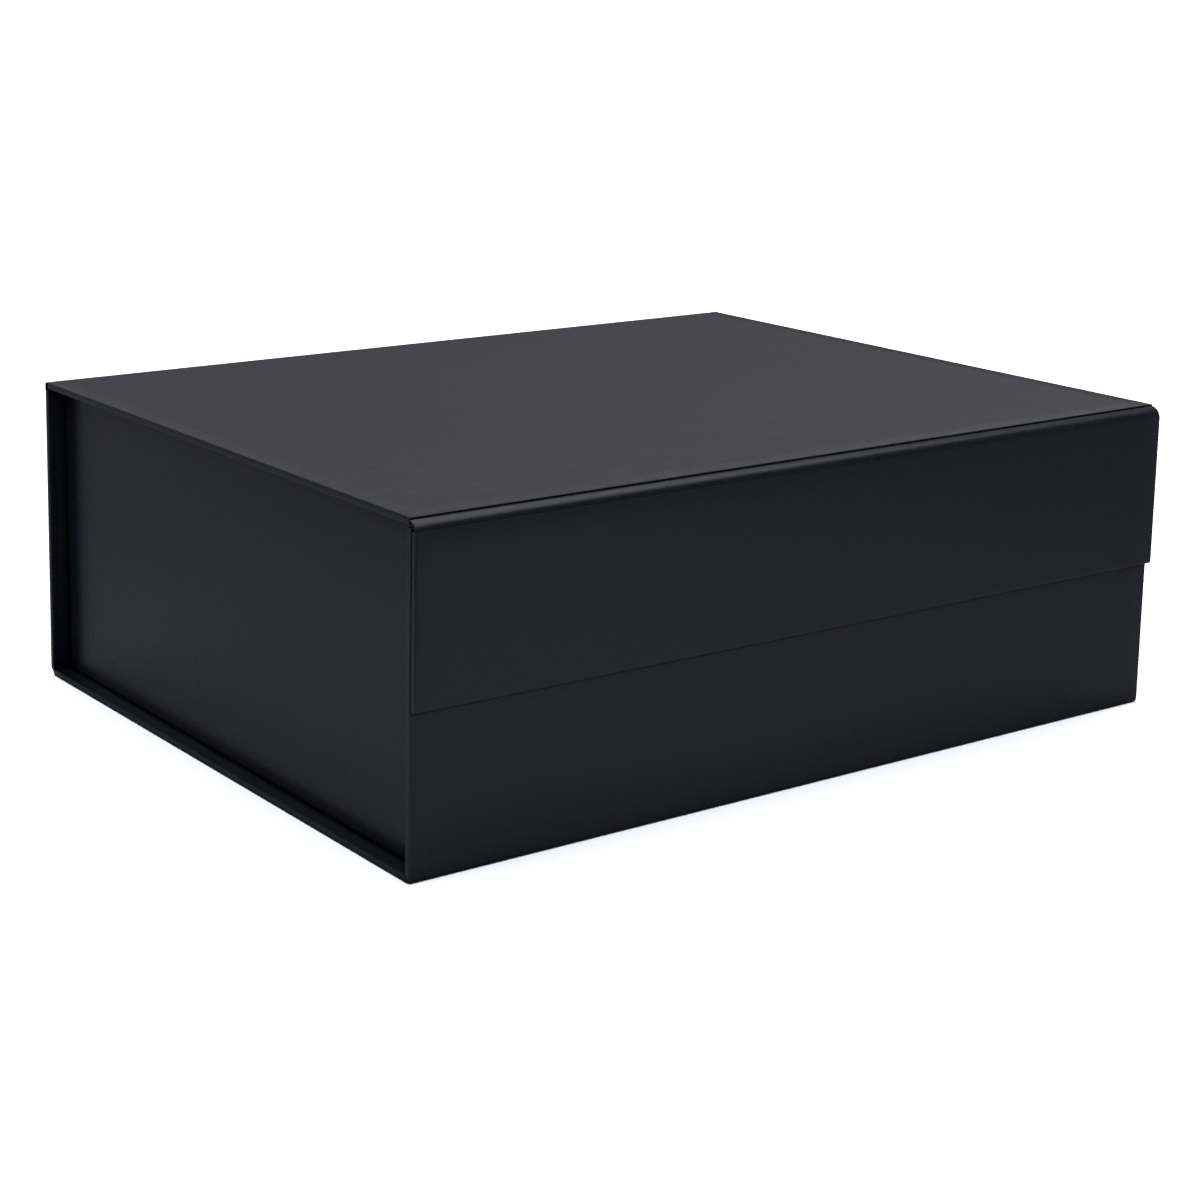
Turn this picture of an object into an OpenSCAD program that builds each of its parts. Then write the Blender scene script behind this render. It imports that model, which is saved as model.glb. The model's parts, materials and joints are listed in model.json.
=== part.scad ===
// Collapsible rigid box with a hinged lid and a magnetic front flap.
// The box is a strip of wrapped boards (flap, lid, spine, base, front wall) with two side walls
// that fold inward onto the base. The origin is the centre of the base's underside, +Z is up,
// +X runs along the box's width and the flap faces -Y.

/* [Box] */
// Outside width, end to end
box_w = 330; // [260:5:420]
// Outside depth, from the flap's face to the spine's face
box_d = 255; // [200:5:320]
// Outside height with the lid closed
box_h = 115; // [90:1:120]
// Height of the front flap, measured down from the lid's top face
flap_h = 60; // [45:1:80]

/* [Board and paper] */
// Thickness of the grey board
board_t = 2; // [1.6:0.1:2.4]
// Thickness of the outer wrapping paper
wrap_t = 0.2; // [0.15:0.05:0.25]
// Thickness of the lining paper
lining_t = 0.2; // [0.15:0.05:0.25]
// Width of the wrap that shows inside a panel's free edges
turn_in = 3; // [2:0.5:4]

/* [Folds] */
// Outer radius of the paper where the lid folds down into the flap
flap_fold_r = 4.2; // [4:0.1:5]
// Outer radius of the fold between the spine and the base
rear_fold_r = 3; // [3:0.1:4]
// Outer radius of the fold between the base and the front wall
front_fold_r = 1.2; // [1:0.1:1.8]

/* [Side walls] */
// How far a side wall stands in from the ends of the base
side_inset = 6.5; // [4:0.5:10]
// Height of a side wall's fold line above the base
fold_lift = 1.2; // [1.1:0.1:1.5]
// Length of a glue tab, measured in from the side wall
tab_len = 28; // [20:1:40]
// Thickness of a glue tab
tab_t = 0.6; // [0.4:0.1:0.7]
// Thickness of the adhesive tape on a tab
tape_t = 0.2; // [0.1:0.05:0.25]

/* [Magnets] */
// Radius of a magnet
magnet_r = 9; // [6:0.5:10]
// Thickness of a magnet
magnet_t = 1.5; // [1:0.1:1.5]
// Distance of each magnet from the middle of the box
magnet_x = 95; // [60:5:110]
// Height of the magnets above the flap's lower edge
magnet_rise = 18; // [14:1:20]

/* [Hidden] */
$fn = 64;

wrap_colour = "#2b2b2e";
lining_colour = "#232326";
board_colour = "#8f8a82";
tape_colour = "#d8d2c0";
magnet_colour = "#b8babd";

// A wrapped panel is outer paper, board and lining, from its outer face in.
panel_t = wrap_t + board_t + lining_t;
cut = 0.5;               // how far a cutting solid runs past the face that it opens
board_slack = 0.1;       // room that keeps boards and magnets from touching edge to edge
closing_gap = 0.1;       // air between the closed flap and the front wall
wall_drop = 0.6;         // the walls stop this far under the lid
wall_lift = 0.2;         // the side walls' air above the base

half_w = box_w / 2;
half_d = box_d / 2;
front_y = -half_d + panel_t + closing_gap;   // front wall's outer face
front_in_y = front_y + panel_t;              // front wall's inner face
spine_in_y = half_d - panel_t;               // spine's inner face
lid_under_z = box_h - panel_t;
wall_top_z = lid_under_z - wall_drop;

// The lid turns about a line inside the rear top corner. Both panels stop short of it, far
// enough that the lid's rear corner passes over the spine's top edge.
lid_axis_y = half_d - panel_t / 2;
lid_axis_z = box_h - panel_t / 2;
lid_rear_y = lid_axis_y - 0.6 * panel_t;
spine_top_z = lid_axis_z - 0.8 * panel_t;

// Panel spans between their folds
lid_front_y = -half_d + flap_fold_r;
flap_low_z = box_h - flap_h;
flap_top_z = box_h - flap_fold_r;
base_front_y = front_in_y;
front_low_z = panel_t;
base_rear_y = half_d - rear_fold_r;

// A side wall runs between two tab folds, each as deep as the panel is thick.
side_x = half_w - side_inset;                // side wall's outer face
side_in_x = side_x - panel_t;                // side wall's inner face, and its fold line
fold_z = panel_t + fold_lift;
side_low_z = panel_t + wall_lift;
front_tab_y = front_in_y + tape_t;           // outer face of the front tabs
rear_tab_y = spine_in_y - tape_t;            // outer face of the rear tabs
side_front_y = front_tab_y + panel_t;
side_rear_y = rear_tab_y - panel_t;
hinge_leg = 12;                              // width of a paper hinge glued to a panel

magnet_z = flap_low_z + magnet_rise;

// A tab slopes at 45 degrees at both ends, and its tape stays inside the slopes.
tab_h = wall_top_z - fold_z;
tape_len = 16;
tape_margin = 4;
tape_h = tab_h - tab_len - tape_len - tape_margin;

FOLD = -1;   // given as a turn-in, it marks an edge where the paper runs on into a fold

// Places a panel that is drawn with its outer face on z = 0 and its height along +Y.
module as_base(y) { translate([0, y, 0]) children(); }
module as_lid(y) { translate([0, y, box_h]) rotate([180, 0, 0]) children(); }
module as_spine(z) { translate([0, half_d, z]) rotate([90, 0, 0]) children(); }
module as_front(y, z) { translate([0, y, z]) mirror([0, 1, 0]) rotate([90, 0, 0]) children(); }
module as_left_wall() {
    translate([-side_x, (side_front_y + side_rear_y) / 2, side_low_z]) rotate([90, 0, 90]) children();
}
module as_right_wall() { mirror([1, 0, 0]) as_left_wall() children(); }

// Edge paper takes one wrap thickness, and an edge at a fold has none.
function edge_t(lip) = lip == FOLD ? 0 : wrap_t;

// The board of a panel w wide and h high. gap is the board's clearance at its low and high edge.
module panel_board(w, h, ends, low, high, gap = [0, 0]) {
    y0 = edge_t(low) + gap[0];
    y1 = h - edge_t(high) - gap[1];
    translate([-w / 2 + edge_t(ends), y0, wrap_t])
        cube([w - 2 * edge_t(ends), y1 - y0, board_t]);
}

// The paper round a panel: its outer face, its free edges, and a turn-in on the inside face.
module panel_wrap(w, h, ends, low, high) {
    x_lip = max(ends, 0);
    y_low = low == FOLD ? -cut : low;
    y_high = high == FOLD ? h + cut : h - high;
    b_low = low == FOLD ? -cut : wrap_t;
    b_high = high == FOLD ? h + cut : h - wrap_t;
    b_end = ends == FOLD ? -cut : wrap_t;
    l_end = ends == FOLD ? -cut : x_lip;
    difference() {
        translate([-w / 2, 0, 0]) cube([w, h, panel_t]);
        translate([-w / 2 + b_end, b_low, wrap_t]) cube([w - 2 * b_end, b_high - b_low, board_t]);
        translate([-w / 2 + l_end, y_low, wrap_t + board_t])
            cube([w - 2 * l_end, y_high - y_low, lining_t + cut]);
    }
}

// The lining of a panel, which runs from y0 to y1 and stops at `side` from each end.
module panel_lining(w, y0, y1, side) {
    translate([-w / 2 + side, y0, wrap_t + board_t]) cube([w - 2 * side, y1 - y0, lining_t]);
}

// Two bores through a panel's board, or the two magnets in them, y up the panel from its origin.
module magnet_pair(y, r, z0, t) {
    for (x = [-magnet_x, magnet_x]) translate([x, y, z0]) cylinder(r = r, h = t);
}

// A strip of paper bent round a quarter circle and along two legs, as long as the box is wide.
// The circle's centre is the local origin and the outer corner lies towards +Y +Z.
module bent_strip(r, leg_y, leg_z, t, width) {
    translate([-width / 2, 0, 0]) rotate([90, 0, 90]) linear_extrude(width) {
        difference() {
            intersection() {
                circle(r);
                square(r);
            }
            circle(r - t);
        }
        if (leg_y > 0) translate([-leg_y, r - t]) square([leg_y, t]);
        if (leg_z > 0) translate([r - t, -leg_z]) square([t, leg_z]);
    }
}

// ---- Boards ----
module base_board() {
    color(board_colour) as_base(base_front_y)
        panel_board(box_w, base_rear_y - base_front_y, turn_in, FOLD, FOLD,
            [board_slack, board_slack]);
}
module spine_board() {
    color(board_colour) as_spine(rear_fold_r)
        panel_board(box_w, spine_top_z - rear_fold_r, turn_in, FOLD, FOLD, [board_slack, 0]);
}
module front_wall_board() {
    color(board_colour) difference() {
        as_front(front_y, front_low_z)
            panel_board(box_w, wall_top_z - front_low_z, turn_in, FOLD, turn_in, [board_slack, 0]);
        as_front(front_y, 0) magnet_pair(magnet_z, magnet_r + board_slack, 0, panel_t);
    }
}
module lid_board() {
    color(board_colour) as_lid(lid_rear_y)
        panel_board(box_w, lid_rear_y - lid_front_y, turn_in, FOLD, FOLD);
}
module flap_board() {
    color(board_colour) difference() {
        as_front(-half_d, flap_low_z)
            panel_board(box_w, flap_top_z - flap_low_z, turn_in, turn_in, FOLD);
        as_front(-half_d, 0) magnet_pair(magnet_z, magnet_r + board_slack, 0, panel_t);
    }
}
module side_board() {
    panel_board(side_rear_y - side_front_y, wall_top_z - side_low_z, FOLD, 0, turn_in);
}
module left_wall_board() { color(board_colour) as_left_wall() side_board(); }
module right_wall_board() { color(board_colour) as_right_wall() side_board(); }

// ---- Outer wrap of each panel ----
module base_wrap() {
    color(wrap_colour) as_base(base_front_y)
        panel_wrap(box_w, base_rear_y - base_front_y, turn_in, FOLD, FOLD);
}
module spine_wrap() {
    color(wrap_colour) as_spine(rear_fold_r)
        panel_wrap(box_w, spine_top_z - rear_fold_r, turn_in, FOLD, FOLD);
}
module front_wall_wrap() {
    color(wrap_colour) as_front(front_y, front_low_z)
        panel_wrap(box_w, wall_top_z - front_low_z, turn_in, FOLD, turn_in);
}
module lid_wrap() {
    color(wrap_colour) as_lid(lid_rear_y)
        panel_wrap(box_w, lid_rear_y - lid_front_y, turn_in, FOLD, FOLD);
}
module flap_wrap() {
    color(wrap_colour) as_front(-half_d, flap_low_z)
        panel_wrap(box_w, flap_top_z - flap_low_z, turn_in, turn_in, FOLD);
}
module side_wrap() {
    panel_wrap(side_rear_y - side_front_y, wall_top_z - side_low_z, FOLD, 0, turn_in);
}
module left_wall_wrap() { color(wrap_colour) as_left_wall() side_wrap(); }
module right_wall_wrap() { color(wrap_colour) as_right_wall() side_wrap(); }

// ---- Outer paper across the folds of the strip ----
module rear_fold() {
    color(wrap_colour) translate([0, base_rear_y, rear_fold_r]) mirror([0, 0, 1])
        bent_strip(rear_fold_r, 0, 0, wrap_t, box_w);
}
// The front fold runs on past its corner, because both boards stop at the box's inside corner.
module front_fold() {
    leg = panel_t - front_fold_r;
    color(wrap_colour) translate([0, front_y + front_fold_r, front_fold_r])
        mirror([0, 1, 0]) mirror([0, 0, 1]) bent_strip(front_fold_r, leg, leg, wrap_t, box_w);
}
module lid_hinge_paper() {
    color(wrap_colour) translate([0, lid_axis_y, lid_axis_z])
        bent_strip(panel_t / 2, lid_axis_y - lid_rear_y, lid_axis_z - spine_top_z, wrap_t, box_w);
}
module flap_fold() {
    color(wrap_colour) translate([0, lid_front_y, flap_top_z]) mirror([0, 1, 0])
        bent_strip(flap_fold_r, 0, 0, wrap_t, box_w);
}

// ---- Linings ----
module base_lining() {
    ledge = half_w - side_in_x + hinge_leg;
    color(lining_colour) as_base(0) panel_lining(box_w, front_in_y, spine_in_y, ledge);
}
module spine_lining() {
    color(lining_colour) as_spine(0) panel_lining(box_w, panel_t, spine_top_z, turn_in);
}
module front_wall_lining() {
    color(lining_colour) as_front(front_y, 0)
        panel_lining(box_w, panel_t, wall_top_z - turn_in, turn_in);
}
module lid_lining() {
    color(lining_colour) as_lid(lid_rear_y) panel_lining(box_w, 0, lid_rear_y - lid_front_y, turn_in);
}
module flap_lining() {
    color(lining_colour) as_front(-half_d, 0)
        panel_lining(box_w, flap_low_z + turn_in, flap_top_z, turn_in);
}
// The side lining runs past the board's ends to the tabs' fold lines.
module side_lining() {
    reach = panel_t - tab_t;
    panel_lining(side_rear_y - side_front_y, hinge_leg, wall_top_z - side_low_z - turn_in, -reach);
}
module left_wall_lining() { color(lining_colour) as_left_wall() side_lining(); }
module right_wall_lining() { color(lining_colour) as_right_wall() side_lining(); }

// ---- Lining strips pressed into the two moving folds ----
module lid_hinge_lining() {
    color(lining_colour) translate([0, lid_axis_y, lid_axis_z])
        bent_strip(panel_t / 2 - wrap_t, lid_axis_y - lid_rear_y, lid_axis_z - spine_top_z,
            lining_t, box_w - 2 * turn_in);
}
module flap_fold_lining() {
    color(lining_colour) translate([0, lid_front_y, flap_top_z]) mirror([0, 1, 0])
        bent_strip(flap_fold_r - wrap_t, 0, 0, lining_t, box_w - 2 * turn_in);
}

// ---- Side wall hinges: paper glued to the base and up the wall's inside face ----
module side_hinge() {
    base_leg = half_w - turn_in - side_in_x + hinge_leg;
    translate([-half_w + turn_in, front_in_y, wrap_t + board_t])
        cube([base_leg, spine_in_y - front_in_y, lining_t]);
    translate([-side_in_x - lining_t, side_front_y, panel_t])
        cube([lining_t, side_rear_y - side_front_y, wall_lift + hinge_leg]);
}
module left_wall_hinge() { color(lining_colour) side_hinge(); }
module right_wall_hinge() { color(lining_colour) mirror([1, 0, 0]) side_hinge(); }

// ---- Glue tabs of the left wall; the right wall's are their mirror image ----
// Both ends of a tab slope at 45 degrees, so that it clears the base on its way down.
// into is 1 where the tab's thickness grows towards +Y, and -1 where it grows towards -Y.
module tab(y_face, into) {
    translate([-side_in_x, into > 0 ? y_face + tab_t : y_face, fold_z]) rotate([90, 0, 0])
        linear_extrude(tab_t)
            polygon([[0, 0], [tab_len, tab_len], [tab_len, tab_h - tab_len], [0, tab_h]]);
}
// The paper that carries the side wall's wrap round its end and onto the tab.
module tab_fold(y_centre, into) {
    translate([-side_in_x, y_centre, fold_z]) mirror([0, into > 0 ? 1 : 0, 0])
        linear_extrude(tab_h) difference() {
            intersection() {
                circle(panel_t);
                translate([-panel_t, 0]) square(panel_t);
            }
            circle(panel_t - wrap_t);
        }
}
module tape(y0) {
    translate([-side_in_x + (tab_len - tape_len) / 2, y0, fold_z + (tab_h - tape_h) / 2])
        cube([tape_len, tape_t, tape_h]);
}
module left_front_tab() { color(wrap_colour) tab(front_tab_y, 1); }
module left_rear_tab() { color(wrap_colour) tab(rear_tab_y, -1); }
module right_front_tab() { color(wrap_colour) mirror([1, 0, 0]) tab(front_tab_y, 1); }
module right_rear_tab() { color(wrap_colour) mirror([1, 0, 0]) tab(rear_tab_y, -1); }
module left_front_tab_fold() { color(wrap_colour) tab_fold(side_front_y, 1); }
module left_rear_tab_fold() { color(wrap_colour) tab_fold(side_rear_y, -1); }
module right_front_tab_fold() { color(wrap_colour) mirror([1, 0, 0]) tab_fold(side_front_y, 1); }
module right_rear_tab_fold() { color(wrap_colour) mirror([1, 0, 0]) tab_fold(side_rear_y, -1); }
module left_front_tape() { color(tape_colour) tape(front_in_y); }
module left_rear_tape() { color(tape_colour) tape(rear_tab_y); }
module right_front_tape() { color(tape_colour) mirror([1, 0, 0]) tape(front_in_y); }
module right_rear_tape() { color(tape_colour) mirror([1, 0, 0]) tape(rear_tab_y); }

// ---- Magnets, each against the paper that faces its mate ----
module flap_magnets() {
    color(magnet_colour) as_front(-half_d, 0)
        magnet_pair(magnet_z, magnet_r, wrap_t + board_t - magnet_t, magnet_t);
}
module front_wall_magnets() {
    color(magnet_colour) as_front(front_y, 0) magnet_pair(magnet_z, magnet_r, wrap_t, magnet_t);
}

base_board();
spine_board();
front_wall_board();
lid_board();
flap_board();
left_wall_board();
right_wall_board();
base_wrap();
spine_wrap();
front_wall_wrap();
lid_wrap();
flap_wrap();
left_wall_wrap();
right_wall_wrap();
rear_fold();
front_fold();
lid_hinge_paper();
flap_fold();
base_lining();
spine_lining();
front_wall_lining();
lid_lining();
flap_lining();
left_wall_lining();
right_wall_lining();
lid_hinge_lining();
flap_fold_lining();
left_wall_hinge();
right_wall_hinge();
left_front_tab();
left_rear_tab();
right_front_tab();
right_rear_tab();
left_front_tab_fold();
left_rear_tab_fold();
right_front_tab_fold();
right_rear_tab_fold();
left_front_tape();
left_rear_tape();
right_front_tape();
right_rear_tape();
flap_magnets();
front_wall_magnets();
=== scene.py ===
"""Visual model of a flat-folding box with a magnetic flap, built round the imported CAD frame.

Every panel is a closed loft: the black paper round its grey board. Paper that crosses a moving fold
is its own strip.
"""
import json
import math

import bmesh
import bpy
from mathutils import Matrix, Vector, noise


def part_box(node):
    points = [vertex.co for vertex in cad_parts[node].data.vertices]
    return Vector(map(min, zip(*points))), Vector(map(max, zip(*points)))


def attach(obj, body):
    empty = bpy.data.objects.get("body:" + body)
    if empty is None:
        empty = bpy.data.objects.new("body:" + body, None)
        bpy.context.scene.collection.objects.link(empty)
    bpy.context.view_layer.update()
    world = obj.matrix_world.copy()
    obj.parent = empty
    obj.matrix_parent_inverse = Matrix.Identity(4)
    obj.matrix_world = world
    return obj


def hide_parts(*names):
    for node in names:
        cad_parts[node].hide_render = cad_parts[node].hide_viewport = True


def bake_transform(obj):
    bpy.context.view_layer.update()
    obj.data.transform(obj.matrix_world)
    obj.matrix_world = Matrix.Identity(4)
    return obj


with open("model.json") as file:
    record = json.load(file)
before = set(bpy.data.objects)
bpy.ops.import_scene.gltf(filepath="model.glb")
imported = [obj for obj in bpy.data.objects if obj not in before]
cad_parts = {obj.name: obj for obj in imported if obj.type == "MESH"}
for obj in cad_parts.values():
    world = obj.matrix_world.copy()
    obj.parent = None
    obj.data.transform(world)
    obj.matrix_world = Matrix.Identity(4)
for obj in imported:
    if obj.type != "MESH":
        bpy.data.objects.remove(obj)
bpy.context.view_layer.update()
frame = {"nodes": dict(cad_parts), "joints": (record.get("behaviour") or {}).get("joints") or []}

MM = 0.001
X, Y, Z = Vector((1, 0, 0)), Vector((0, 1, 0)), Vector((0, 0, 1))
SIDES = {"left": -1, "right": 1}
ENDS = ("front", "rear")

# ---------------------------------------------------------------- sizes from the frame
AXES = {joint["name"]: Vector(joint["pos_m"]) for joint in frame["joints"]}
BASE_LO, BASE_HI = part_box("base_wrap")
LID_LO, LID_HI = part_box("lid_wrap")
FLAP_LO, FLAP_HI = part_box("flap_wrap")
SPINE_LO, SPINE_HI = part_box("spine_wrap")
FRONT_LO, FRONT_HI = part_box("front_wall_wrap")
WALL_LO, WALL_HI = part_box("left_wall_wrap")
LINING_LO, LINING_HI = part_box("lid_lining")

HALF_W = BASE_HI.x
PANEL = LID_HI.z - LID_LO.z              # board, paper and lining together
LINING = LINING_HI.z - LINING_LO.z
TURN_IN = LINING_LO.x - LID_LO.x         # border of wrapped-over paper round each lining
REAR_R = SPINE_LO.z
WALL_AXIS_X = abs(AXES["left_wall_fold"].x)
WALL_MIDDLE, WALL_HALF = (WALL_LO.y + WALL_HI.y) / 2, (WALL_HI.y - WALL_LO.y) / 2
FRONT_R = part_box("front_fold")[1].z / 2

# ---------------------------------------------------------------- how the paper sits
EDGE_R = 0.5 * MM        # outer radius of paper wrapped over a board's edge
INNER_R = 0.35 * MM      # the same on the lining side
SHEET_R = 0.1 * MM       # rounding of a bare sheet's edge
PAPER = 0.2 * MM
FOLD_T = 0.9 * MM        # paper, its turned-in edge and lining over the front top fold
HINGE_TURN = 1.2 * MM    # how tightly the wall hinge paper turns up the wall
TAB_CREASE = 75          # degrees round a tab's fold at which the paper starts to bend
TAB_EASE = 0.15 * MM     # how far a folded tab stays off the wall's lining
PROUD = 0.03 * MM        # how far a lining stands above the border round it
RECESS = 0.3 * MM        # how far the wrap drops under the lining
RECESS_RUN = 0.05 * MM   # distance over which it drops
FLAT_R = 0.02 * MM       # rounding of a sheet's glued face
WALL_END_R = 0.03 * MM   # rounding at a side wall's ends, where its wrap runs on
LID_FRONT_R = 0.6 * EDGE_R       # outer radius at the lid's front edge
FLAP_TOP_R = 0.5 * EDGE_R        # outer radius at the flap's top edge
FRONT_PINCH = 0.3 * MM   # how much narrower the wrap gets as it goes round the front fold
REAR_PINCH = 0.5 * MM    # the same at the rear fold
INSIDE_R = 0.02 * MM     # radius of the paper pressed into a fold's inside corner
LEAST_CUT = 0.01 * MM    # least distance from a panel's end to its next row
HINGE_LEAD = 6 * MM      # how far the wall hinge paper runs flat before it turns up
TIP_STEP = 0.4 * MM      # last stretch of a tab, where its edge thins
TIP_THIN = 0.15 * MM     # how much each face drops there
BORE_GAP = 0.1 * MM      # gap round a magnet in its hole
BORE_DEPTH = 6 * MM      # enough to cut right through a board
GRID = 8 * MM            # mesh spacing over a flat panel
TAB_GRID = 4 * MM        # mesh spacing over a tab
RISER_GRID = 3 * MM      # mesh spacing up a wall hinge's riser
HINGE_GRID = 0.5 * MM    # mesh spacing along the lid hinge
CALM = 14 * MM           # panels are true within this distance of an edge
SLOW_WAVE, FAST_WAVE = 8.0, 36.0            # unevenness of a face, in waves per metre
SLOW_HEIGHT, FAST_HEIGHT = 0.09, 0.018      # and how high it stands, in mm
ROUND_STEPS = 5          # mesh steps round an edge
ROUND_ROOM = 0.45        # most of a panel's thickness that one rounded edge may take
ROUND_CORNER = 0.6       # a free corner's rounding, as a share of its edges' rounding
SHARP_ANGLE = 35         # degrees between faces from which an edge is shaded sharp


# ---------------------------------------------------------------- lofted panels and strips
class Row:
    """One cross-section: its outer point, its inward direction, and how it differs there."""

    def __init__(self, point, inward, depth, out_inset=0.0, in_inset=0.0, calm=0.0, lined=0.0,
                 narrow=0.0):
        self.point = Vector(point)
        self.inward = Vector(inward).normalized()
        self.depth = depth
        self.out_inset = out_inset
        self.in_inset = in_inset
        self.calm = calm
        self.lined = lined
        self.narrow = narrow


def spread(start, end, step):
    """Evenly spaced values from start to end, no further apart than step."""
    count = max(1, math.ceil(abs(end - start) / step - 0.001))
    return [start + (end - start) * i / count for i in range(count + 1)]


def wobble(point):
    """The slight unevenness of board under paper, in metres along the normal."""
    slow = noise.noise(point * SLOW_WAVE + Vector((3.1, 7.7, 1.9)))
    fast = noise.noise(point * FAST_WAVE + Vector((11.3, 2.2, 5.4)))
    return (SLOW_HEIGHT * slow + FAST_HEIGHT * fast) * MM


def arc(centre_x, centre_d, radius, start):
    """Inner points of a quarter turn in the section, from angle start, clockwise."""
    angles = [start + math.pi / 2 * k / ROUND_STEPS for k in range(1, ROUND_STEPS)]
    return [(centre_x + radius * math.sin(a), centre_d - radius * math.cos(a)) for a in angles]


def section(row, across, half, count, out_r, in_r, border):
    """The closed ring of points round one row: outer face, edge, inner face, edge."""
    wide = half - row.narrow
    top, bottom = row.out_inset, row.depth - row.in_inset
    room = (bottom - top) * ROUND_ROOM
    out_r, in_r = min(out_r, room), min(in_r, room)
    steps = [-1 + 2 * i / count for i in range(count + 1)]
    outer = [(t * (wide - out_r), top) for t in steps]
    if border:
        edge = wide - TURN_IN
        under = bottom - RECESS * row.lined
        inner = [(wide - in_r, bottom), (edge + RECESS_RUN, bottom)]
        inner += [(t * edge, under) for t in reversed(steps)]
        inner += [(-edge - RECESS_RUN, bottom), (in_r - wide, bottom)]
    else:
        inner = [(t * (wide - in_r), bottom) for t in reversed(steps)]
    ring = outer
    ring = ring + arc(wide - out_r, top + out_r, out_r, 0) + [(wide, top + out_r)]
    ring = ring + [(wide, bottom - in_r)] + arc(wide - in_r, bottom - in_r, in_r, math.pi / 2)
    ring = ring + inner + arc(in_r - wide, bottom - in_r, in_r, math.pi) + [(-wide, bottom - in_r)]
    ring = ring + [(-wide, top + out_r)] + arc(out_r - wide, top + out_r, out_r, 1.5 * math.pi)
    points = []
    for index, (x, deep) in enumerate(ring):
        point = row.point + across * x + row.inward * deep
        if index <= count and row.calm > 0:
            fade = min(1.0, (wide - abs(x)) / CALM) * row.calm
            point -= row.inward * wobble(point) * fade
        points.append(point)
    return points


def loft(name, rows, across, half, material, out_r=EDGE_R, in_r=INNER_R, border=False):
    """A closed mesh through the rows' sections, smooth but for its real edges."""
    count = math.ceil(2 * half / GRID)
    sections = [section(row, across, half, count, out_r, in_r, border) for row in rows]
    size = len(sections[0])
    verts = [point for ring in sections for point in ring]
    faces = []
    for i in range(len(rows) - 1):
        for j in range(size):
            k = (j + 1) % size
            faces.append((i * size + j, i * size + k, (i + 1) * size + k, (i + 1) * size + j))
    last = (len(rows) - 1) * size
    faces.append(tuple(range(size))[::-1])
    faces.append(tuple(range(last, last + size)))
    mesh = bpy.data.meshes.new(name)
    mesh.from_pydata(verts, [], faces)
    obj = bpy.data.objects.new(name, mesh)
    bpy.context.scene.collection.objects.link(obj)
    face_outward(mesh)
    mesh.shade_smooth()
    mesh.set_sharp_from_angle(angle=math.radians(SHARP_ANGLE))
    mesh.materials.append(material)
    return obj


def face_outward(mesh):
    """Turns the whole mesh right side out, by the sign of its volume."""
    volume = 0.0
    mesh.calc_loop_triangles()
    middle = sum((v.co for v in mesh.vertices), Vector()) / len(mesh.vertices)
    for tri in mesh.loop_triangles:
        a, b, c = (mesh.vertices[i].co - middle for i in tri.vertices)
        volume += a.dot(b.cross(c))
    if volume < 0:
        mesh.flip_normals()


def flat_rows(start, end, inward, depth, start_border=0.0, end_border=0.0):
    """Rows over a flat panel; the borders say how far from each end its lining keeps."""
    start, end = Vector(start), Vector(end)
    length = (end - start).length
    run = (end - start).normalized()
    places = [(s, 1.0) for s in spread(start_border, length - end_border, GRID)]
    if start_border:
        places = [(0, 0.0), (start_border - RECESS_RUN, 0.0)] + places
    if end_border:
        places = places + [(length - end_border + RECESS_RUN, 0.0), (length, 0.0)]
    rows = []
    for s, lined in places:
        calm = min(1.0, min(s, length - s) / CALM)
        rows.append(Row(start + run * s, inward, depth, calm=calm, lined=lined))
    return rows


def end_rows(end, run, inward, depth, out_r, in_r, free):
    """Rows that round a panel off at its end; run points the way the panel ends.

    A free end also has its two corners rounded; the end at a fold keeps its full width. With no
    radius at all the end is square, in one row.
    """
    rows = []
    steps = ROUND_STEPS if max(out_r, in_r) > 0 else 0
    for k in range(steps + 1):
        a = math.pi / 2 * k / ROUND_STEPS
        back = max(out_r, in_r) * (1 - math.sin(a))
        inset = 1 - math.cos(a)
        narrow = ROUND_CORNER * min(out_r, in_r) * inset if free else 0.0
        rows.append(Row(Vector(end) - run * back, inward, depth, out_inset=out_r * inset,
                        in_inset=in_r * inset, narrow=narrow))
    return rows


def panel_rows(start, end, inward, depth, start_r, end_r, borders=(0.0, 0.0),
               free=(False, False)):
    """A flat panel with both ends rounded; start_r and end_r are (outer, inner) radii."""
    start, end = Vector(start), Vector(end)
    run = (end - start).normalized()
    head = end_rows(start, -run, inward, depth, *start_r, free[0])[::-1]
    tail = end_rows(end, run, inward, depth, *end_r, free[1])
    cut = [max(max(start_r), LEAST_CUT), max(max(end_r), LEAST_CUT)]
    keep = [max(0.0, border - c) for border, c in zip(borders, cut)]
    middle = flat_rows(start + run * cut[0], end - run * cut[1], inward, depth, *keep)
    return head + middle[1:-1] + tail


def corner_rows(centre, radius, start_angle, end_angle, inner_corner, pinch=0.0, steps=8):
    """A fold between two boards: outer paper round centre, inner paper pressed into the corner."""
    rows = []
    for i in range(steps + 1):
        share = i / steps
        a = start_angle + (end_angle - start_angle) * share
        normal = Vector((0, math.cos(a), math.sin(a)))
        point = Vector(centre) + normal * radius
        inner = Vector(inner_corner) + normal * INSIDE_R
        narrow = pinch * math.sin(math.pi * share)
        rows.append(Row(point, inner - point, (inner - point).length, narrow=narrow))
    return rows


def strip_rows(points, depth):
    """Paper along a line of points in the YZ plane, its face to the right of the way it runs."""
    rows = []
    for i, point in enumerate(points):
        run = Vector(points[min(i + 1, len(points) - 1)]) - Vector(points[max(i - 1, 0)])
        rows.append(Row(point, Vector((0, -run.z, run.y)), depth))
    return rows


def arc_points(centre, radius, start_angle, end_angle, steps=8):
    """Points in the YZ plane, angles counted from +Y towards +Z."""
    angles = [start_angle + (end_angle - start_angle) * i / steps for i in range(steps + 1)]
    return [Vector(centre) + Vector((0, math.cos(a), math.sin(a))) * radius for a in angles]


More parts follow.
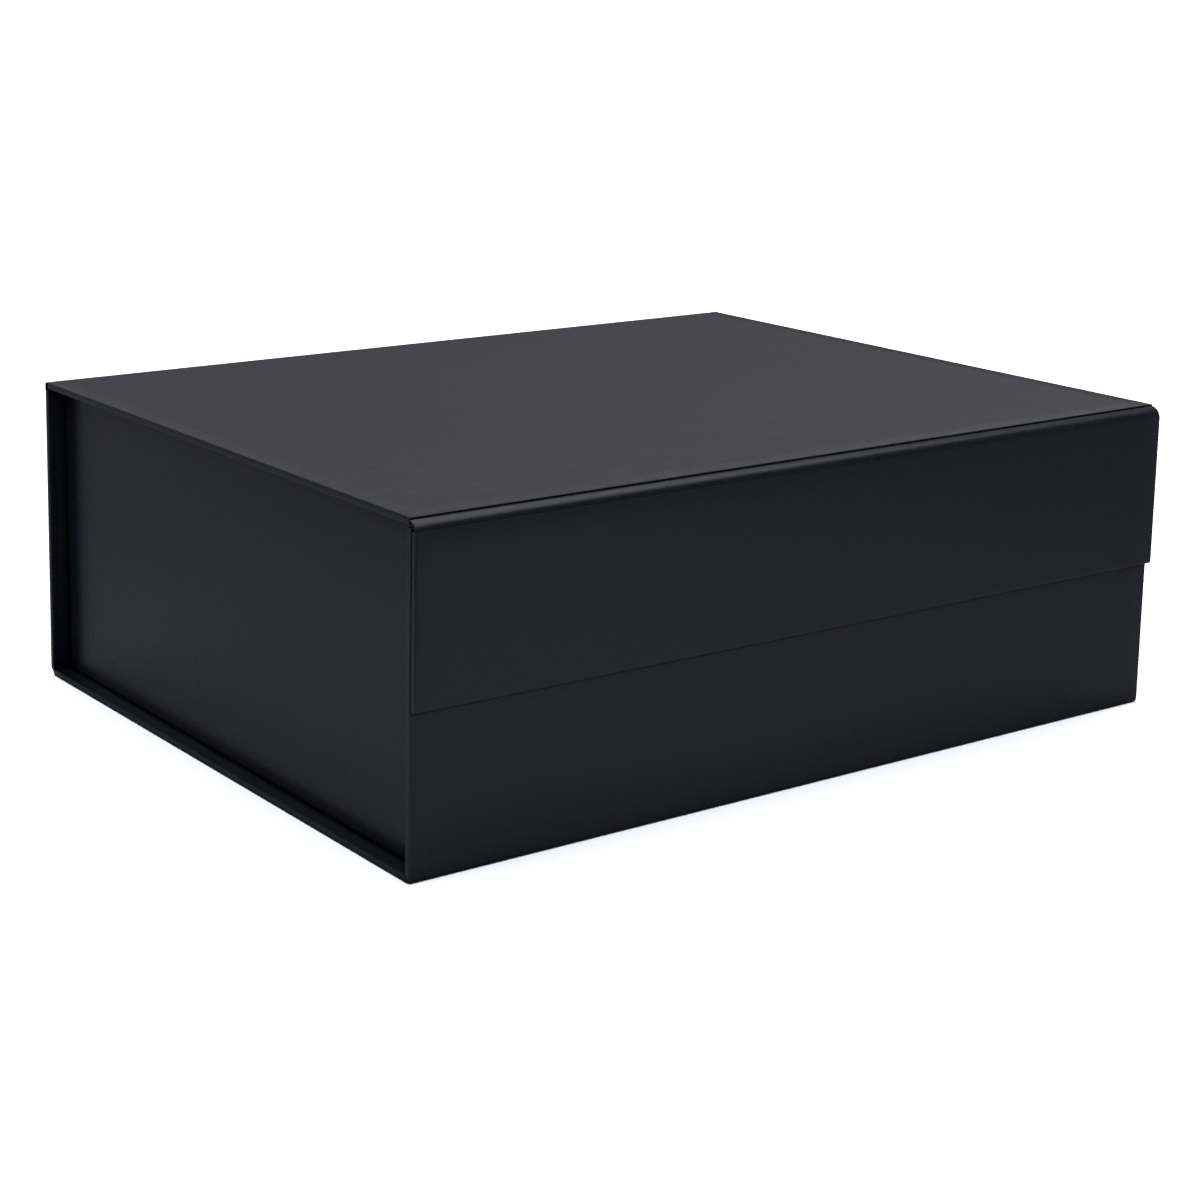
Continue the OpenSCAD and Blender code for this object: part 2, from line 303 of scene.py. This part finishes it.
# ---------------------------------------------------------------- materials
WRAP_COLOUR = (0.0072, 0.0090, 0.0220)
LINING_COLOUR = (0.0072, 0.0090, 0.0210)
BOARD_COLOUR = (0.30, 0.28, 0.25)
TAPE_COLOUR = (0.72, 0.68, 0.58)
NICKEL_COLOUR = (0.56, 0.57, 0.58)
AO_SAMPLES = 6
NOISE_ROUGHNESS = 0.6


def new_material(name, roughness, specular):
    """A material with its node tree and its Principled shader."""
    material = bpy.data.materials.new(name)
    material.use_nodes = True
    shader = material.node_tree.nodes["Principled BSDF"]
    shader.inputs["Roughness"].default_value = roughness
    shader.inputs["Specular IOR Level"].default_value = specular
    return material, material.node_tree, shader


def noise_node(tree, coords, scale, detail, stretch=(1, 1, 1), offset=(0, 0, 0)):
    """Noise in object space; stretch squeezes the pattern along an axis."""
    mapping = tree.nodes.new("ShaderNodeMapping")
    mapping.inputs["Scale"].default_value = stretch
    mapping.inputs["Location"].default_value = offset
    tree.links.new(coords.outputs["Object"], mapping.inputs["Vector"])
    texture = tree.nodes.new("ShaderNodeTexNoise")
    texture.inputs["Scale"].default_value = scale
    texture.inputs["Detail"].default_value = detail
    texture.inputs["Roughness"].default_value = NOISE_ROUGHNESS
    tree.links.new(mapping.outputs["Vector"], texture.inputs["Vector"])
    return texture.outputs["Fac"]


def remap(tree, value, low, high, from_low=0.3, from_high=0.7):
    """Moves a value from one range to another, clamped; the usual range is noise's own."""
    node = tree.nodes.new("ShaderNodeMapRange")
    node.inputs["From Min"].default_value = from_low
    node.inputs["From Max"].default_value = from_high
    node.inputs["To Min"].default_value = low
    node.inputs["To Max"].default_value = high
    tree.links.new(value, node.inputs["Value"])
    return node.outputs["Result"]


def math_node(tree, operation, a, b):
    """One arithmetic step on two values, each a socket or a number."""
    node = tree.nodes.new("ShaderNodeMath")
    node.operation = operation
    for index, value in enumerate((a, b)):
        if isinstance(value, (int, float)):
            node.inputs[index].default_value = value
        else:
            tree.links.new(value, node.inputs[index])
    return node.outputs[0]


def tinted(tree, colour, factor):
    """A colour whose brightness follows factor."""
    node = tree.nodes.new("ShaderNodeVectorMath")
    node.operation = "SCALE"
    node.inputs[0].default_value = colour
    tree.links.new(factor, node.inputs["Scale"])
    return node.outputs[0]


def add_bump(tree, shader, height, strength, distance):
    """Fine relief from a height, distance being its full depth."""
    bump = tree.nodes.new("ShaderNodeBump")
    bump.inputs["Strength"].default_value = strength
    bump.inputs["Distance"].default_value = distance
    tree.links.new(height, bump.inputs["Height"])
    tree.links.new(bump.outputs["Normal"], shader.inputs["Normal"])


def rubbed_edge_and_highlight(tree):
    """1 on flat paper, more on a convex edge, where the film is rubbed and a painted highlight
    lightens the edge.
    """
    geometry = tree.nodes.new("ShaderNodeNewGeometry")
    return remap(tree, geometry.outputs["Pointiness"], 1.0, 1.3, from_low=0.52, from_high=0.62)


def painted_shade_factor(tree, reach, shut, dark_at, clear_at):
    """Painted shade: 1 on an open face, down to shut where other faces within reach close it in and
    shade falls.
    """
    node = tree.nodes.new("ShaderNodeAmbientOcclusion")
    node.samples = AO_SAMPLES
    node.inputs["Distance"].default_value = reach
    return remap(tree, node.outputs["AO"], shut, 1.0, dark_at, clear_at)


def paper_material(name, colour, roughness, specular, streak, mottle):
    """Matt-laminated black paper with streaks of fibre along the box's width, painted shade in its
    recesses and creases, and convex edges that are partly rubbed and partly a painted highlight.
    """
    material, tree, shader = new_material(name, roughness, specular)
    coords = tree.nodes.new("ShaderNodeTexCoord")
    fibres = noise_node(tree, coords, scale=1.0, detail=4, stretch=(90, 620, 620))
    clouds = noise_node(tree, coords, scale=1.0, detail=3, stretch=(26, 60, 60), offset=(3, 1, 2))
    speckle = noise_node(tree, coords, scale=420.0, detail=3, offset=(5, 8, 3))
    grain = noise_node(tree, coords, scale=1800.0, detail=2)
    factor = math_node(tree, "MULTIPLY", remap(tree, fibres, 1 - streak, 1 + streak),
                       remap(tree, clouds, 1 - mottle, 1 + mottle))
    factor = math_node(tree, "MULTIPLY", factor, remap(tree, speckle, 0.8, 1.2))
    # convex edges painted lighter: partly rubbed film, partly a painted highlight
    factor = math_node(tree, "MULTIPLY", factor, rubbed_edge_and_highlight(tree))
    # painted shade: the paper's colour is darkened in recesses and creases, where other faces close
    # it in
    painted_recess_shade = painted_shade_factor(tree, reach=11 * MM, shut=0.58, dark_at=0.3, clear_at=0.85)
    painted_crease_shade = painted_shade_factor(tree, reach=1.6 * MM, shut=0.3, dark_at=0.8, clear_at=1.0)
    painted_shade_share = math_node(tree, "MINIMUM", painted_recess_shade, painted_crease_shade)
    factor = math_node(tree, "MULTIPLY", factor, painted_shade_share)
    tree.links.new(tinted(tree, colour, factor), shader.inputs["Base Color"])
    # the painted shade dims the paper's reflection there as well
    tree.links.new(math_node(tree, "MULTIPLY", painted_shade_share, specular),
                   shader.inputs["Specular IOR Level"])
    rough = math_node(tree, "ADD", remap(tree, fibres, -0.04, 0.04), roughness)
    rough = math_node(tree, "ADD", rough, remap(tree, speckle, -0.03, 0.03))
    tree.links.new(rough, shader.inputs["Roughness"])
    height = math_node(tree, "ADD", fibres, math_node(tree, "MULTIPLY", grain, 0.35))
    add_bump(tree, shader, height, strength=0.25, distance=0.03 * MM)
    return material


def board_material():
    """Grey board: pressed waste paper, with dark and light flecks."""
    material, tree, shader = new_material("grey_board", roughness=0.9, specular=0.2)
    coords = tree.nodes.new("ShaderNodeTexCoord")
    flecks = noise_node(tree, coords, scale=900.0, detail=4)
    pulp = noise_node(tree, coords, scale=120.0, detail=3)
    factor = math_node(tree, "MULTIPLY", remap(tree, flecks, 0.75, 1.2), remap(tree, pulp, 0.9, 1.1))
    tree.links.new(tinted(tree, BOARD_COLOUR, factor), shader.inputs["Base Color"])
    add_bump(tree, shader, flecks, strength=0.4, distance=0.05 * MM)
    return material


def tape_material():
    """Double-sided tape under its waxed release paper."""
    material, tree, shader = new_material("release_paper", roughness=0.45, specular=0.5)
    coords = tree.nodes.new("ShaderNodeTexCoord")
    fibres = noise_node(tree, coords, scale=300.0, detail=4)
    wrinkles = noise_node(tree, coords, scale=60.0, detail=2)
    tree.links.new(tinted(tree, TAPE_COLOUR, remap(tree, fibres, 0.92, 1.05)),
                   shader.inputs["Base Color"])
    tree.links.new(remap(tree, wrinkles, 0.35, 0.55), shader.inputs["Roughness"])
    add_bump(tree, shader, wrinkles, strength=0.3, distance=0.1 * MM)
    return material


def magnet_material():
    """Nickel-plated magnet with fine turning marks."""
    material, tree, shader = new_material("nickel", roughness=0.3, specular=0.5)
    shader.inputs["Metallic"].default_value = 1.0
    coords = tree.nodes.new("ShaderNodeTexCoord")
    marks = noise_node(tree, coords, scale=700.0, detail=3)
    tree.links.new(tinted(tree, NICKEL_COLOUR, remap(tree, marks, 0.85, 1.05)),
                   shader.inputs["Base Color"])
    tree.links.new(remap(tree, marks, 0.22, 0.4), shader.inputs["Roughness"])
    add_bump(tree, shader, marks, strength=0.2, distance=0.02 * MM)
    return material


WRAP = paper_material("wrap_paper", WRAP_COLOUR, roughness=0.29, specular=0.5, streak=0.10,
                      mottle=0.07)
LINING_PAPER = paper_material("lining_paper", LINING_COLOUR, roughness=0.36, specular=0.5,
                              streak=0.08, mottle=0.05)
BOARD = board_material()
TAPE = tape_material()
NICKEL = magnet_material()


# ---------------------------------------------------------------- tray, lid and flap
def build_tray_wrap():
    """Front wall, base and spine in one: the paper runs round all three."""
    front_y, rear_y, depth = FRONT_LO.y, SPINE_HI.y, PANEL - PROUD
    rows = panel_rows((0, front_y, FRONT_HI.z), (0, front_y, FRONT_LO.z), Y, depth,
                      (EDGE_R, INNER_R), (0, 0), (TURN_IN, 0), (True, False))
    rows += corner_rows((0, front_y + FRONT_R, FRONT_R), FRONT_R, math.pi, 1.5 * math.pi,
                        (0, front_y + depth, depth), FRONT_PINCH)[1:-1]
    rows += flat_rows((0, BASE_LO.y, 0), (0, BASE_HI.y, 0), Z, depth)
    rows += corner_rows((0, rear_y - REAR_R, REAR_R), REAR_R, -0.5 * math.pi, 0,
                        (0, rear_y - depth, depth), REAR_PINCH)[1:-1]
    rows += panel_rows((0, rear_y, SPINE_LO.z), (0, rear_y, SPINE_HI.z), -Y, depth,
                       (0, 0), (0, INNER_R), (0, 0))
    obj = loft("tray_wrap", rows, X, HALF_W, WRAP, border=True)
    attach(obj, "tray")
    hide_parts("front_wall_wrap", "front_fold", "base_wrap", "rear_fold", "spine_wrap")


def build_lid_wrap():
    """The lid's paper, rounded at its front edge, where the top fold begins."""
    rows = panel_rows((0, LID_HI.y, LID_HI.z), (0, LID_LO.y - LINING, LID_HI.z), -Z,
                      PANEL - PROUD, (0, INNER_R), (LID_FRONT_R, INNER_R))
    obj = loft("lid_panel", rows, X, HALF_W, WRAP, border=True)
    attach(obj, "lid")
    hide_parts("lid_wrap")


def build_flap_wrap():
    """The flap's paper; its free end is at the bottom."""
    rows = panel_rows((0, FLAP_LO.y, FLAP_HI.z + LINING), (0, FLAP_LO.y, FLAP_LO.z), Y,
                      PANEL - PROUD, (FLAP_TOP_R, INNER_R), (EDGE_R, INNER_R), (0, TURN_IN),
                      (False, True))
    obj = loft("flap_panel", rows, X, HALF_W, WRAP, border=True)
    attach(obj, "flap")
    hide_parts("flap_wrap")


def build_lid_hinge():
    """Paper and lining from the spine's top, round the rear corner, to the lid's rear edge."""
    axis, radius = AXES["lid_hinge"], PANEL / 2
    points = [(0, SPINE_HI.y, z) for z in spread(SPINE_HI.z, axis.z, HINGE_GRID)]
    points += arc_points(axis, radius, 0, math.pi / 2)[1:-1]
    points += [(0, y, LID_HI.z) for y in spread(axis.y, LID_HI.y, HINGE_GRID)]
    obj = loft("lid_hinge_strip", strip_rows(points, 2 * PAPER), X, HALF_W, WRAP)
    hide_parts("lid_hinge_paper", "lid_hinge_lining")
    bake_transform(obj)


def build_flap_fold():
    """Paper and lining over the front top fold: a dip at the lid's edge, then round to the flap."""
    # distance back from the flap's face and distance down from the lid's face, in mm
    profile = [(4.75, 1.9), (4.45, 1.4), (4.15, 0.95), (3.8, 0.68), (3.4, 0.6), (2.8, 0.84),
               (2.15, 1.18), (1.5, 1.62), (1.0, 2.13), (0.6, 2.74), (0.3, 3.4), (0.12, 4.05),
               (0.22, 4.45), (0.5, 4.75)]
    points = [(0, FLAP_LO.y + back * MM, LID_HI.z - drop * MM) for back, drop in profile]
    rows = strip_rows(points, FOLD_T)
    for row in rows[:3]:
        row.depth = FOLD_T / 3           # thin at the lid, to clear the front wall as it opens
    obj = loft("flap_fold_strip", rows, X, HALF_W, WRAP)
    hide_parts("flap_fold", "flap_fold_lining")
    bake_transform(obj)


# ---------------------------------------------------------------- side walls
def build_wall(side):
    """One folding side wall, whose wrap runs on round its ends to the tabs."""
    sign, body = SIDES[side], side + "_wall"
    outer = sign * -WALL_LO.x
    rows = panel_rows((outer, WALL_MIDDLE, WALL_HI.z), (outer, WALL_MIDDLE, WALL_LO.z), X * -sign,
                      PANEL - PROUD, (EDGE_R, INNER_R), (EDGE_R, INNER_R))
    obj = loft(body + "_panel", rows, Y, WALL_HALF, WRAP, WALL_END_R, WALL_END_R)
    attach(obj, body)
    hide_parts(body + "_wrap")


def build_wall_hinge(side):
    """The paper under a side wall, and the paper that turns up its inside face."""
    sign, node = SIDES[side], side + "_wall_hinge"
    low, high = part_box(node)
    middle, half = (low.y + high.y) / 2, (high.y - low.y) / 2
    far, near = sign * max(abs(low.x), abs(high.x)), sign * min(abs(low.x), abs(high.x))
    face = low.z + LINING
    flat = panel_rows((far, middle, face), (near, middle, face), -Z, LINING, (SHEET_R, 0),
                      (SHEET_R, 0))
    sheet = loft(node + "_sheet", flat, Y, half, LINING_PAPER, SHEET_R, FLAT_R)
    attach(sheet, "tray")
    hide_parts(node)
    wall_x = sign * WALL_AXIS_X
    turn = HINGE_TURN
    rows = [Row((wall_x - sign * (turn + lead), WALL_MIDDLE, face + LINING), -Z, LINING / 2)
            for lead in spread(HINGE_LEAD, 0, HINGE_LEAD / 3)]
    for k in range(1, ROUND_STEPS + 1):
        a = math.pi / 2 * k / (ROUND_STEPS + 1)
        out = Vector((sign * math.sin(a), 0, -math.cos(a)))
        centre = Vector((wall_x - sign * turn, WALL_MIDDLE, face + LINING + turn))
        rows.append(Row(centre + out * turn, out, LINING / 2))
    rows += [Row((wall_x, WALL_MIDDLE, z), X * sign, LINING / 2)
             for z in spread(face + LINING + turn, high.z, RISER_GRID)]
    riser = loft(node + "_riser", rows, Y, WALL_HALF, LINING_PAPER, SHEET_R, FLAT_R)
    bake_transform(riser)


def build_tab(side, end):
    """A glue tab: stiff paper whose top and bottom edges slope in towards its free edge."""
    sign, name = SIDES[side], side + "_" + end + "_tab"
    low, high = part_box(name)
    root, tip = (low.x, high.x) if sign < 0 else (high.x, low.x)
    outward = -Y if end == "front" else Y
    face = low.y if end == "front" else high.y
    middle, full = (low.z + high.z) / 2, (high.z - low.z) / 2
    rows = []
    for x in spread(root, tip + sign * TIP_STEP, TAB_GRID) + [tip]:
        inset = TIP_THIN if x == tip else 0.0
        rows.append(Row((x, face, middle), -outward, high.y - low.y - TAB_EASE, out_inset=inset,
                        in_inset=inset, narrow=abs(x - root)))
    obj = loft(name + "_sheet", rows, Z, full, WRAP, PAPER, PAPER)
    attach(obj, name)
    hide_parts(name)


def build_tab_fold(side, end):
    """The wrap going round the end of a side wall and on to its tab."""
    sign, node = SIDES[side], side + "_" + end + "_tab_fold"
    low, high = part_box(node)
    outward = -Y if end == "front" else Y
    centre_y = high.y if end == "front" else low.y
    radius, middle = high.y - low.y, (low.z + high.z) / 2
    rows = []
    angles = [math.radians(a) for a in spread(0, TAB_CREASE, 15) + spread(TAB_CREASE, 90, 3)[1:]]
    for a in angles:
        out = X * sign * math.cos(a) + outward * math.sin(a)
        rows.append(Row(Vector((sign * WALL_AXIS_X, centre_y, middle)) + out * radius, -out,
                        2 * PAPER))
    obj = loft(node + "_strip", rows, Z, (high.z - low.z) / 2, WRAP)
    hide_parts(node)
    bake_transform(obj)


# ---------------------------------------------------------------- boards, linings and tapes
def build_slab(node, body, outward, material, name, out_r, in_r):
    """A board or a sheet that fills one CAD node's box, its uneven face pointing outward."""
    low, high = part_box(node)
    size, outward = high - low, Vector(outward)
    thickness = abs(size.dot(outward))
    if abs(outward.x) > 0.5:
        run, across = Z, Y
    elif abs(outward.y) > 0.5:
        run, across = Z, X
    else:
        run, across = Y, X
    face = (low + high) / 2 + outward * thickness / 2
    reach = run * size.dot(run) / 2
    rows = panel_rows(face - reach, face + reach, -outward, thickness, (out_r, in_r),
                      (out_r, in_r), free=(True, True))
    obj = loft(name, rows, across, size.dot(across) / 2, material, out_r, in_r)
    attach(obj, body)
    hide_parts(node)
    return obj


def drill(board, magnets):
    """Bores the two magnet holes through a board."""
    low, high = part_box(magnets)
    radius = (high.z - low.z) / 2
    tool = bmesh.new()
    for sign in (-1, 1):
        place = Vector((sign * (high.x - radius), (low.y + high.y) / 2, (low.z + high.z) / 2))
        turn = Matrix.Translation(place) @ Matrix.Rotation(math.pi / 2, 4, "X")
        bmesh.ops.create_cone(tool, cap_ends=True, segments=64, radius1=radius + BORE_GAP,
                              radius2=radius + BORE_GAP, depth=BORE_DEPTH, matrix=turn)
    cutter_mesh = bpy.data.meshes.new("magnet_drill")
    tool.to_mesh(cutter_mesh)
    tool.free()
    cutter = bpy.data.objects.new("magnet_drill", cutter_mesh)
    bpy.context.scene.collection.objects.link(cutter)
    cut = board.modifiers.new("bores", "BOOLEAN")
    cut.operation, cut.solver, cut.object = "DIFFERENCE", "EXACT", cutter
    bpy.context.view_layer.update()
    evaluated = board.evaluated_get(bpy.context.evaluated_depsgraph_get())
    bored = bpy.data.meshes.new_from_object(evaluated)
    board.modifiers.clear()
    board.data = bored
    bpy.data.objects.remove(cutter)


build_tray_wrap()
build_lid_wrap()
build_flap_wrap()
build_lid_hinge()
build_flap_fold()
for side_name in SIDES:
    build_wall(side_name)
    build_wall_hinge(side_name)
    for end_name in ENDS:
        build_tab(side_name, end_name)
        build_tab_fold(side_name, end_name)
        tape_node = side_name + "_" + end_name + "_tape"
        build_slab(tape_node, side_name + "_" + end_name + "_tab", -Y if end_name == "front" else Y,
                   TAPE, tape_node + "_strip", SHEET_R / 2, SHEET_R / 2)

# body and outward direction of each panel; a board faces out of the box and its lining faces in
PANELS = {"base": ("tray", -Z), "spine": ("tray", Y), "front_wall": ("tray", -Y),
          "lid": ("lid", Z), "flap": ("flap", -Y), "left_wall": ("left_wall", -X),
          "right_wall": ("right_wall", X)}
for panel_name, (body_name, panel_out) in PANELS.items():
    core = build_slab(panel_name + "_board", body_name, panel_out, BOARD, panel_name + "_core",
                      EDGE_R - PAPER, INNER_R - PAPER)
    if panel_name in ("flap", "front_wall"):
        drill(core, panel_name + "_magnets")
    build_slab(panel_name + "_lining", body_name, -panel_out, LINING_PAPER,
               panel_name + "_lining_sheet", SHEET_R, FLAT_R)

for magnet_node in ("flap_magnets", "front_wall_magnets"):
    magnets = frame["nodes"][magnet_node]
    magnets.data.materials.clear()
    magnets.data.materials.append(NICKEL)


# ---------------------------------------------------------------- studio and camera
# light from behind and from in front, as (sine of the height above the horizon, strength)
SKY_BEHIND = ((0.0, 0.02), (0.16, 0.03), (0.28, 0.44), (0.42, 0.33), (0.52, 0.08), (0.68, 0.08),
              (0.78, 1.45), (1.0, 1.45))
SKY_IN_FRONT = ((0.0, 0.10), (0.13, 0.10), (0.26, 0.09), (0.42, 0.08), (0.52, 0.06),
                (0.68, 0.08), (0.78, 1.45), (1.0, 1.45))
SKY_RIGHT = 1.35                        # how much brighter the sky is to the box's right
FLOOR_SEEN = 2.4                        # white where the camera looks
FLOOR_FRONT, FLOOR_REAR = 0.59, 0.29    # dimmer for the box, in front of it and behind it: painted falloff of light
FLOOR_LEFT = 0.35                       # share of that left far to the front left
FLOOR_RIGHT = 0.45                      # share of that left far to the right
FLOOR_SIZE = 400                        # metres
FLOOR_TINT = (0.98, 1.0, 1.05)
TURN_FROM, TURN_TO = -0.3, 0.2          # how far back a ray points where front light turns to rear
RIGHT_FROM, RIGHT_TO = 0.5, 0.75        # how far right a ray points where the sky brightens
LENS = 74.16                            # mm, before the mount's slant lengthens it
SENSOR = 36                             # mm


def is_camera_ray(tree, seen, unseen):
    """One value where the camera looks, and another for every other ray."""
    path = tree.nodes.new("ShaderNodeLightPath")
    return remap(tree, path.outputs["Is Camera Ray"], unseen, seen, 0.0, 1.0)


def build_floor():
    """A pale sweep that runs out to the horizon; it looks whiter than the box finds it, and what the
    box finds carries painted falloff of light, dimmer behind, to the right and to the front left.
    """
    bpy.ops.mesh.primitive_plane_add(size=FLOOR_SIZE, location=(0, 0, 0))
    floor = bpy.context.object
    floor.name = "floor"
    material, tree, shader = new_material("floor", roughness=1.0, specular=0.0)
    output = tree.nodes["Material Output"]
    diffuse = tree.nodes.new("ShaderNodeBsdfDiffuse")
    coords = tree.nodes.new("ShaderNodeTexCoord")
    split = tree.nodes.new("ShaderNodeSeparateXYZ")
    tree.links.new(coords.outputs["Object"], split.inputs[0])
    across, along = split.outputs["X"], split.outputs["Y"]
    slanted = math_node(tree, "ADD", across, along)
    # painted falloff of light: the floor the box sees grows dimmer behind it, to its right and to
    # its front left
    painted_floor_falloff = remap(tree, along, FLOOR_FRONT, FLOOR_REAR, -2 * HALF_W, 2 * HALF_W)
    to_right = remap(tree, across, 1.0, FLOOR_RIGHT, 0.0, 2.7 * HALF_W)
    to_front_left = remap(tree, slanted, FLOOR_LEFT, 1.0, -4.8 * HALF_W, -2.4 * HALF_W)
    painted_floor_falloff = math_node(tree, "MULTIPLY", painted_floor_falloff, to_right)
    painted_floor_falloff = math_node(tree, "MULTIPLY", painted_floor_falloff, to_front_left)
    bright = math_node(tree, "MAXIMUM", painted_floor_falloff, is_camera_ray(tree, FLOOR_SEEN, 0.0))
    tree.links.new(tinted(tree, FLOOR_TINT, bright), diffuse.inputs["Color"])
    tree.links.new(diffuse.outputs[0], output.inputs["Surface"])
    floor.data.materials.append(material)


def sky_ramp(tree, height, stops):
    """Strength against height, eased between its stops."""
    ramp = tree.nodes.new("ShaderNodeValToRGB")
    ramp.color_ramp.interpolation = "EASE"
    while len(ramp.color_ramp.elements) < len(stops):
        ramp.color_ramp.elements.new(0.5)
    for element, (place, strength) in zip(ramp.color_ramp.elements, stops):
        element.position = place
        element.color = (strength, strength, strength, 1)
    tree.links.new(height, ramp.inputs["Fac"])
    return ramp.outputs["Color"]


def build_world():
    """A softbox overhead, a lit backdrop low down, and dimmer air between them."""
    world = bpy.data.worlds.new("studio")
    bpy.context.scene.world = world
    world.use_nodes = True
    tree = world.node_tree
    background = tree.nodes["Background"]
    coords = tree.nodes.new("ShaderNodeTexCoord")
    split = tree.nodes.new("ShaderNodeSeparateXYZ")
    tree.links.new(coords.outputs["Generated"], split.inputs[0])
    behind = sky_ramp(tree, split.outputs["Z"], SKY_BEHIND)
    in_front = sky_ramp(tree, split.outputs["Z"], SKY_IN_FRONT)
    rear_share = remap(tree, split.outputs["Y"], 0.0, 1.0, TURN_FROM, TURN_TO)
    front_share = remap(tree, split.outputs["Y"], 1.0, 0.0, TURN_FROM, TURN_TO)
    lit = math_node(tree, "ADD", math_node(tree, "MULTIPLY", behind, rear_share),
                    math_node(tree, "MULTIPLY", in_front, front_share))
    to_right = remap(tree, split.outputs["X"], 1.0, SKY_RIGHT, RIGHT_FROM, RIGHT_TO)
    lit = math_node(tree, "MULTIPLY", lit, to_right)
    lit = math_node(tree, "MAXIMUM", lit, is_camera_ray(tree, 1.0, 0.0))
    tree.links.new(lit, background.inputs["Strength"])
    background.inputs["Color"].default_value = (1, 1, 1, 1)


def build_camera():
    """Long lens from the front left, a little above, framed off-centre by a sheared mount."""
    azimuth, elevation, roll = math.radians(-34.93), math.radians(10.83), math.radians(0.71)
    distance, target = 0.8923, Vector((-0.0543, 0, 0.1238))
    shift_right, shift_up = -0.0493, 0.0871
    back = Vector((math.sin(azimuth) * math.cos(elevation),
                   -math.cos(azimuth) * math.cos(elevation), math.sin(elevation)))
    right = (-back).cross(Z).normalized()
    up = right.cross(-back)
    side = right * math.cos(roll) + up * math.sin(roll)
    top = up * math.cos(roll) - right * math.sin(roll)
    skewed = back + side * shift_right + top * shift_up
    camera = bpy.data.objects.new("camera", bpy.data.cameras.new("camera"))
    camera.data.sensor_width = SENSOR
    camera.data.lens = LENS * skewed.length
    camera.data.clip_start, camera.data.clip_end = 0.05, 900
    rig = bpy.data.objects.new("camera_rig", None)
    for obj in (camera, rig):
        bpy.context.scene.collection.objects.link(obj)
    skewed.normalize()
    frame_of = Matrix([[side[i], top[i], skewed[i]] for i in range(3)]).to_4x4()
    camera.parent = rig
    camera.matrix_parent_inverse = Matrix.Translation(target + back * distance) @ frame_of
    bpy.context.scene.camera = camera


build_floor()
build_world()
build_camera()
bpy.context.scene.view_settings.view_transform = "Standard"
